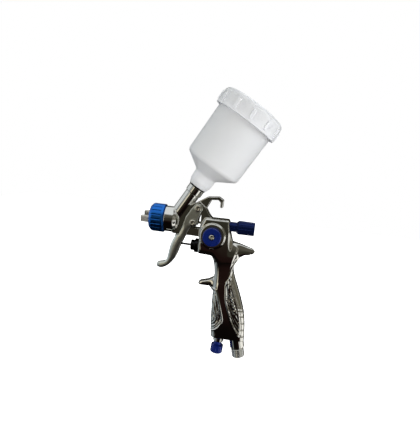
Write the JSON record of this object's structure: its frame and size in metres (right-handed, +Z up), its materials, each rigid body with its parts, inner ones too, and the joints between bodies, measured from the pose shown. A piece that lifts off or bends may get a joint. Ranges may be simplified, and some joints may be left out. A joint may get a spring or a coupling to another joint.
{
  "type": "gravity-feed spray gun",
  "caption": "Hand-held gravity-feed spray gun with a tilted plastic paint cup, trigger, air cap and adjusting knobs for fluid, fan and air.",
  "frame": {"origin": "centre of the air inlet's end face, at the bottom of the grip", "axes": "+Z up, -X the way it sprays, -Y the side with the fan control knob"},
  "size_m": [0.1267, 0.0678, 0.2668],
  "materials": {
    "body_chrome": "polished chrome plate over cast metal",
    "trigger_chrome": "satin chrome plate",
    "steel": "bright turned steel",
    "dark_nickel": "black nickel",
    "brass": "bright brass",
    "ring_blue": "blue anodised",
    "knob_blue": "glossy royal blue anodised",
    "knob_navy": "dark navy anodised",
    "cup_plastic": "translucent milky polypropylene",
    "seal": "black rubber",
    "ptfe": "white packing plastic"
  },
  "bodies": {
    "gun": {"gun_body": "body_chrome", "inlet_coupling": "body_chrome", "cup_seal": "seal", "fluid_nozzle": "steel", "nozzle_gasket": "ptfe", "air_distributor": "brass", "needle_packing": "ptfe", "packing_nut": "brass", "needle_guide": "brass", "needle_spring": "steel", "air_valve_housing": "dark_nickel", "air_valve_packing": "ptfe", "air_valve_seat": "brass", "air_valve_spring": "steel", "fan_bush": "body_chrome", "fan_seal": "seal", "regulator_bush": "body_chrome", "regulator_seal": "seal", "air_inlet_fitting": "body_chrome", "trigger_pivot_stud": "steel", "pivot_screw": "steel"},
    "trigger": {"trigger": "trigger_chrome", "needle_yoke_pin": "brass", "yoke_screw": "steel"},
    "needle": {"needle": "steel", "needle_collar": "brass"},
    "air_valve": {"air_valve_stem": "dark_nickel", "air_valve_poppet": "brass", "poppet_seal": "seal"},
    "fluid_stop": {"needle_spring_seat": "brass"},
    "fluid_knob": {"fluid_knob": "knob_navy"},
    "fan_spindle": {"fan_spindle": "brass"},
    "fan_knob": {"fan_knob": "knob_blue", "fan_knob_screw": "steel"},
    "regulator_stem": {"regulator_stem": "brass"},
    "regulator_knob": {"regulator_knob": "knob_blue"},
    "air_cap": {"air_cap": "steel"},
    "retaining_ring": {"retaining_ring": "ring_blue"},
    "cup_strainer": {"cup_strainer": "ptfe"},
    "cup": {"cup": "cup_plastic", "cup_collar": "dark_nickel"},
    "lid_seal": {"lid_seal": "ptfe"},
    "lid": {"cup_lid": "cup_plastic"}
  },
  "joints": [
    {"name": "trigger_pull", "type": "hinge", "parent": "gun", "child": "trigger", "pos_m": [-0.0575, 0, 0.148], "axis": [0, -1, 0], "range_deg": [0, 11], "stiffness_Nm_per_rad": 0.6, "springref_deg": -28.65},
    {"name": "needle_travel", "type": "slide", "parent": "gun", "child": "needle", "axis": [1, 0, 0], "range_m": [0, 0.00286], "deforming": ["needle_spring"]},
    {"name": "air_valve_travel", "type": "slide", "parent": "gun", "child": "air_valve", "axis": [1, 0, 0], "range_m": [0, 0.00814], "deforming": ["air_valve_spring"]},
    {"name": "fluid_stop_travel", "type": "slide", "parent": "gun", "child": "fluid_stop", "axis": [1, 0, 0], "range_m": [-0.002, 0.003]},
    {"name": "fluid_knob_turn", "type": "hinge", "parent": "fluid_stop", "child": "fluid_knob", "pos_m": [-0.0093, 0, 0.1334], "axis": [1, 0, 0], "range_deg": [-720, 1080]},
    {"name": "fan_spindle_travel", "type": "slide", "parent": "gun", "child": "fan_spindle", "axis": [0, -1, 0], "range_m": [0, 0.002]},
    {"name": "fan_knob_turn", "type": "hinge", "parent": "fan_spindle", "child": "fan_knob", "pos_m": [-0.0401, -0.016, 0.123], "axis": [0, -1, 0], "range_deg": [0, 720]},
    {"name": "regulator_travel", "type": "slide", "parent": "gun", "child": "regulator_stem", "axis": [-0.0698, 0, -0.9976], "range_m": [-0.002, 0.002]},
    {"name": "regulator_knob_turn", "type": "hinge", "parent": "regulator_stem", "child": "regulator_knob", "pos_m": [-0.02326, 0, 0.00542], "axis": [-0.0698, 0, -0.9976], "range_deg": [-720, 720]},
    {"name": "air_cap_turn", "type": "hinge", "parent": "gun", "child": "air_cap", "pos_m": [-0.1023, 0, 0.1334], "axis": [-1, 0, 0], "range_deg": [-90, 90]},
    {"name": "retaining_ring_turn", "type": "hinge", "parent": "gun", "child": "retaining_ring", "pos_m": [-0.0973, 0, 0.1334], "axis": [-1, 0, 0], "range_deg": [0, 90]},
    {"name": "cup_travel", "type": "slide", "parent": "gun", "child": "cup_strainer", "axis": [0.5, 0, 0.866], "range_m": [0, 0.0075]},
    {"name": "cup_turn", "type": "hinge", "parent": "cup_strainer", "child": "cup", "pos_m": [-0.0592, 0, 0.17237], "axis": [0.5, 0, 0.866], "range_deg": [0, 2160]},
    {"name": "lid_travel", "type": "slide", "parent": "cup", "child": "lid_seal", "axis": [0.5, 0, 0.866], "range_m": [0, 0.012]},
    {"name": "lid_turn", "type": "hinge", "parent": "lid_seal", "child": "lid", "pos_m": [-0.0192, 0, 0.24165], "axis": [0.5, 0, 0.866], "range_deg": [0, 1080]}
  ],
  "couplings": [
    {"joint": "needle_travel", "follows": "trigger_pull", "m_per_rad": 0.0149},
    {"joint": "air_valve_travel", "follows": "trigger_pull", "m_per_rad": 0.0424},
    {"joint": "fluid_stop_travel", "follows": "fluid_knob_turn", "m_per_rad": 0.00015915},
    {"joint": "fan_spindle_travel", "follows": "fan_knob_turn", "m_per_rad": 0.00015915},
    {"joint": "regulator_travel", "follows": "regulator_knob_turn", "m_per_rad": 0.00015915},
    {"joint": "cup_travel", "follows": "cup_turn", "m_per_rad": 0.00019894},
    {"joint": "lid_travel", "follows": "lid_turn", "m_per_rad": 0.00063662}
  ]
}
